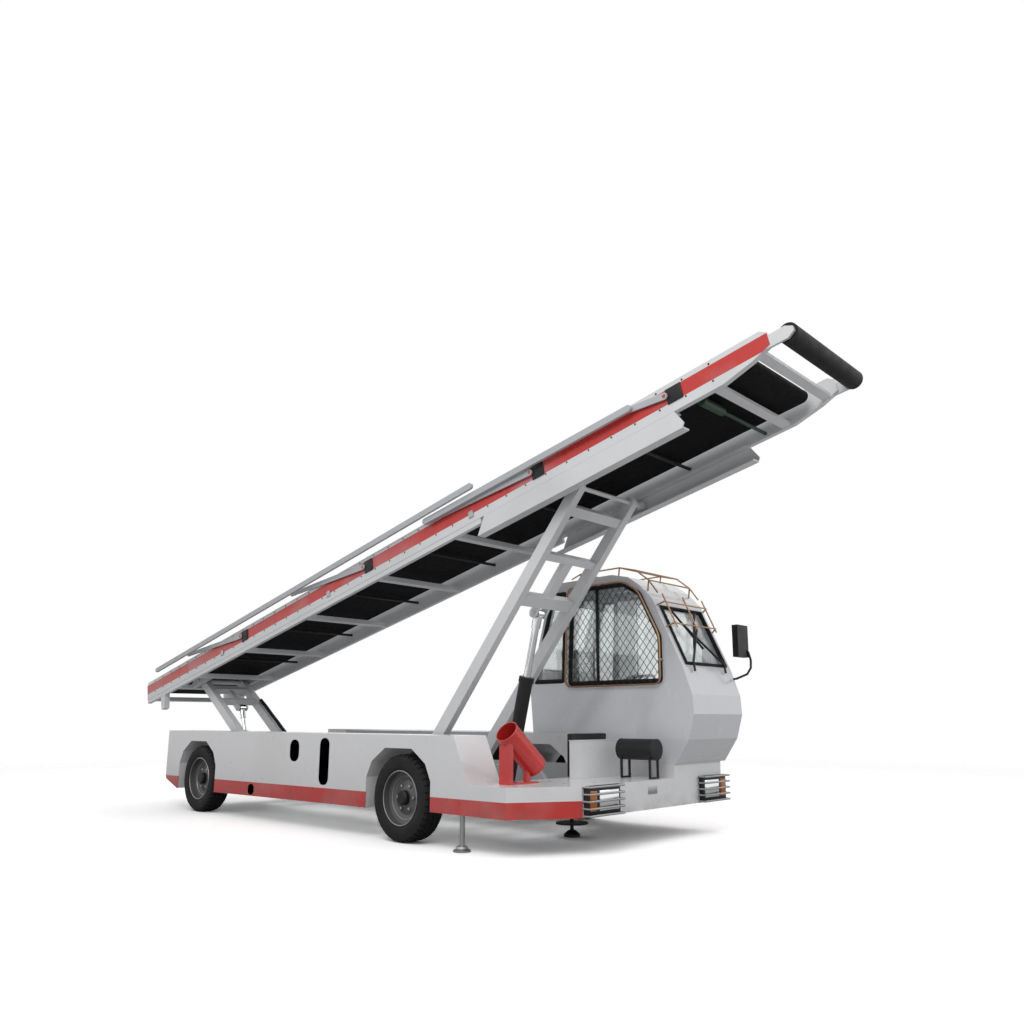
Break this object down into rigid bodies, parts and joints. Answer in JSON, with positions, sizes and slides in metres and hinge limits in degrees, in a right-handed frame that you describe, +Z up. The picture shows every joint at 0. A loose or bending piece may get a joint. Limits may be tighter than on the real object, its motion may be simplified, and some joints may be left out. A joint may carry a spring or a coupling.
{
  "type": "baggage belt loader",
  "caption": "Self-propelled airport belt loader with an offset cab, a long belt boom on scissoring lift frames and folding handrails.",
  "frame": {"origin": "centre of the bounding box's bottom face, on the floor", "axes": "+X forward, +Y to the machine's left, +Z up"},
  "size_m": [7.7712, 2.2189, 2.9684],
  "materials": {
    "white_paint": "gloss white paint, worn and stained",
    "grey_paint": "satin grey paint",
    "red_paint": "gloss red paint",
    "black_paint": "satin black paint",
    "steel": "bare steel",
    "chrome": "polished chrome",
    "rubber": "matt black rubber",
    "glass": "clear glass",
    "green_paint": "matt green paint",
    "fabric": "woven black cloth"
  },
  "bodies": {
    "chassis": {"battery_block": "black_paint", "cab_mirror": "black_paint", "cab_shell": "white_paint", "chassis_frame": "grey_paint", "control_box": "white_paint", "driver_seat": "fabric", "extinguisher_holder": "red_paint", "front_axle": "black_paint", "front_deck": "white_paint", "hydraulic_tank": "black_paint", "left_body_side": "white_paint", "quarter_glass_left": "glass", "quarter_glass_right": "glass", "rear_axle": "black_paint", "rear_glass": "glass", "rear_panel": "white_paint", "right_body_side": "white_paint", "seat_base": "black_paint", "side_glass": "glass", "steering_wheel": "black_paint", "windshield": "glass"},
    "front_lift": {"front_lift_frame": "white_paint"},
    "rear_lift": {"rear_lift_frame": "white_paint", "hose_bundle": "rubber"},
    "boom": {"boom_frame": "white_paint", "conveyor_belt": "rubber", "end_buffer": "rubber", "belt_motor": "green_paint"},
    "front_barrel": {"front_cylinder_barrel": "black_paint"},
    "front_rod": {"front_cylinder_rod": "chrome"},
    "rear_barrel": {"rear_cylinder_barrel": "black_paint"},
    "rear_rod": {"rear_cylinder_rod": "chrome"},
    "knuckle_right": {"steering_knuckle_right": "black_paint"},
    "knuckle_left": {"steering_knuckle_left": "black_paint"},
    "wheel_front_right": {"tyre_front_right": "rubber", "rim_front_right": "steel"},
    "wheel_front_left": {"tyre_front_left": "rubber", "rim_front_left": "steel"},
    "wheel_rear_right": {"tyre_rear_right": "rubber", "rim_rear_right": "steel"},
    "wheel_rear_left": {"tyre_rear_left": "rubber", "rim_rear_left": "steel"},
    "door": {"cab_door": "white_paint", "door_glass": "glass"},
    "battery_lid": {"battery_cover": "grey_paint"},
    "right_jack": {"jack_right": "steel"},
    "front_jack": {"jack_front": "black_paint"},
    "rail_rear_arm": {"handrail_rear_arm": "grey_paint"},
    "rail_middle_arm": {"handrail_middle_arm": "grey_paint"},
    "rail_front_arm": {"handrail_front_arm": "grey_paint"},
    "rear_rail": {"handrail_rear": "grey_paint"},
    "front_rail": {"handrail_front": "grey_paint"},
    "rail_link": {"handrail_link": "grey_paint"}
  },
  "joints": [
    {"name": "front_lift", "type": "hinge", "parent": "chassis", "child": "front_lift", "pos_m": [0.7, -0.41, 0.522], "axis": [0, -1, 0], "range_deg": [-34, 20]},
    {"name": "rear_lift", "type": "hinge", "parent": "chassis", "child": "rear_lift", "pos_m": [-1.755, -0.41, 0.4], "axis": [0, -1, 0], "range_deg": [-8.01, 13.61]},
    {"name": "boom_pitch", "type": "hinge", "parent": "rear_lift", "child": "boom", "pos_m": [-3.0472, -0.41, 1.23688], "axis": [0, -1, 0], "range_deg": [-22.95, 13.5]},
    {"name": "front_barrel_swing", "type": "hinge", "parent": "chassis", "child": "front_barrel", "pos_m": [1.2675, -0.41, 0.33], "axis": [0, -1, 0], "range_deg": [-34.71, 20.42]},
    {"name": "front_rod_slide", "type": "slide", "parent": "front_barrel", "child": "front_rod", "axis": [0.243, 0, 0.97], "range_m": [-0.3419, 0.20132]},
    {"name": "rear_barrel_swing", "type": "hinge", "parent": "chassis", "child": "rear_barrel", "pos_m": [-2.33, -0.41, 0.22], "axis": [0, -1, 0], "range_deg": [-8.78, 14.91]},
    {"name": "rear_rod_slide", "type": "slide", "parent": "rear_barrel", "child": "rear_rod", "axis": [-0.3644, 0, 0.9312], "range_m": [-0.14115, 0.08324]},
    {"name": "steer_right", "type": "hinge", "parent": "chassis", "child": "knuckle_right", "pos_m": [0.845, -0.875, 0.3], "axis": [0, 0, 1], "range_deg": [-35, 35]},
    {"name": "steer_left", "type": "hinge", "parent": "chassis", "child": "knuckle_left", "pos_m": [0.845, 0.875, 0.3], "axis": [0, 0, 1], "range_deg": [-35.01, 35.01]},
    {"name": "wheel_front_right_spin", "type": "hinge", "parent": "knuckle_right", "child": "wheel_front_right", "pos_m": [0.845, -0.965, 0.3], "axis": [0, 1, 0], "continuous": true},
    {"name": "wheel_front_left_spin", "type": "hinge", "parent": "knuckle_left", "child": "wheel_front_left", "pos_m": [0.845, 0.965, 0.3], "axis": [0, 1, 0], "continuous": true},
    {"name": "wheel_rear_right_spin", "type": "hinge", "parent": "chassis", "child": "wheel_rear_right", "pos_m": [-2.155, -0.965, 0.3], "axis": [0, 1, 0], "continuous": true},
    {"name": "wheel_rear_left_spin", "type": "hinge", "parent": "chassis", "child": "wheel_rear_left", "pos_m": [-2.155, 0.965, 0.3], "axis": [0, 1, 0], "continuous": true},
    {"name": "door_swing", "type": "hinge", "parent": "chassis", "child": "door", "pos_m": [1.353, 1.069, 1.25], "axis": [0, 0, 1], "range_deg": [0, 85]},
    {"name": "battery_lid_lift", "type": "hinge", "parent": "chassis", "child": "battery_lid", "pos_m": [-0.69, 0.768, 0.735], "axis": [-1, 0, 0], "range_deg": [0, 75]},
    {"name": "right_jack_lift", "type": "slide", "parent": "chassis", "child": "right_jack", "axis": [0, 0, 1], "range_m": [0, 0.12]},
    {"name": "front_jack_lift", "type": "slide", "parent": "chassis", "child": "front_jack", "axis": [0, 0, 1], "range_m": [0, 0.12]},
    {"name": "rail_rear_arm_swing", "type": "hinge", "parent": "boom", "child": "rail_rear_arm", "pos_m": [-1.85506, -0.89, 1.62209], "axis": [0, 1, 0], "range_deg": [0, 75]},
    {"name": "rail_middle_arm_swing", "type": "hinge", "parent": "boom", "child": "rail_middle_arm", "pos_m": [0.07618, -0.89, 2.06334], "axis": [0, 1, 0], "range_deg": [0, 75.01]},
    {"name": "rail_front_arm_swing", "type": "hinge", "parent": "boom", "child": "rail_front_arm", "pos_m": [1.94404, -0.89, 2.49011], "axis": [0, 1, 0], "range_deg": [0, 75.01]},
    {"name": "rear_rail_level", "type": "hinge", "parent": "rail_rear_arm", "child": "rear_rail", "pos_m": [-2.90429, -0.941, 1.50033], "axis": [0, 1, 0], "range_deg": [-75.01, 0]},
    {"name": "front_rail_level", "type": "hinge", "parent": "rail_front_arm", "child": "front_rail", "pos_m": [0.90639, -0.913, 2.31765], "axis": [0, 1, 0], "range_deg": [-38.64, 0]},
    {"name": "rail_link_swing", "type": "hinge", "parent": "boom", "child": "rail_link", "pos_m": [3.04858, -0.89, 2.74248], "axis": [0, 1, 0], "range_deg": [0, 209.3]}
  ],
  "couplings": [
    {"joint": "rear_lift", "follows": "front_lift", "ratio": -0.4},
    {"joint": "boom_pitch", "follows": "front_lift", "ratio": 0.6746},
    {"joint": "front_barrel_swing", "follows": "front_lift", "ratio": 1.0205},
    {"joint": "front_rod_slide", "follows": "front_lift", "m_per_rad": 0.57531},
    {"joint": "rear_barrel_swing", "follows": "front_lift", "ratio": -0.43835},
    {"joint": "rear_rod_slide", "follows": "front_lift", "m_per_rad": 0.23702},
    {"joint": "steer_left", "follows": "steer_right", "ratio": 1},
    {"joint": "rail_middle_arm_swing", "follows": "rail_rear_arm_swing", "ratio": 1},
    {"joint": "rail_front_arm_swing", "follows": "rail_rear_arm_swing", "ratio": 1},
    {"joint": "rear_rail_level", "follows": "rail_rear_arm_swing", "ratio": -1},
    {"joint": "front_rail_level", "follows": "rail_rear_arm_swing", "ratio": -0.515},
    {"joint": "rail_link_swing", "follows": "rail_rear_arm_swing", "ratio": 2.79}
  ]
}
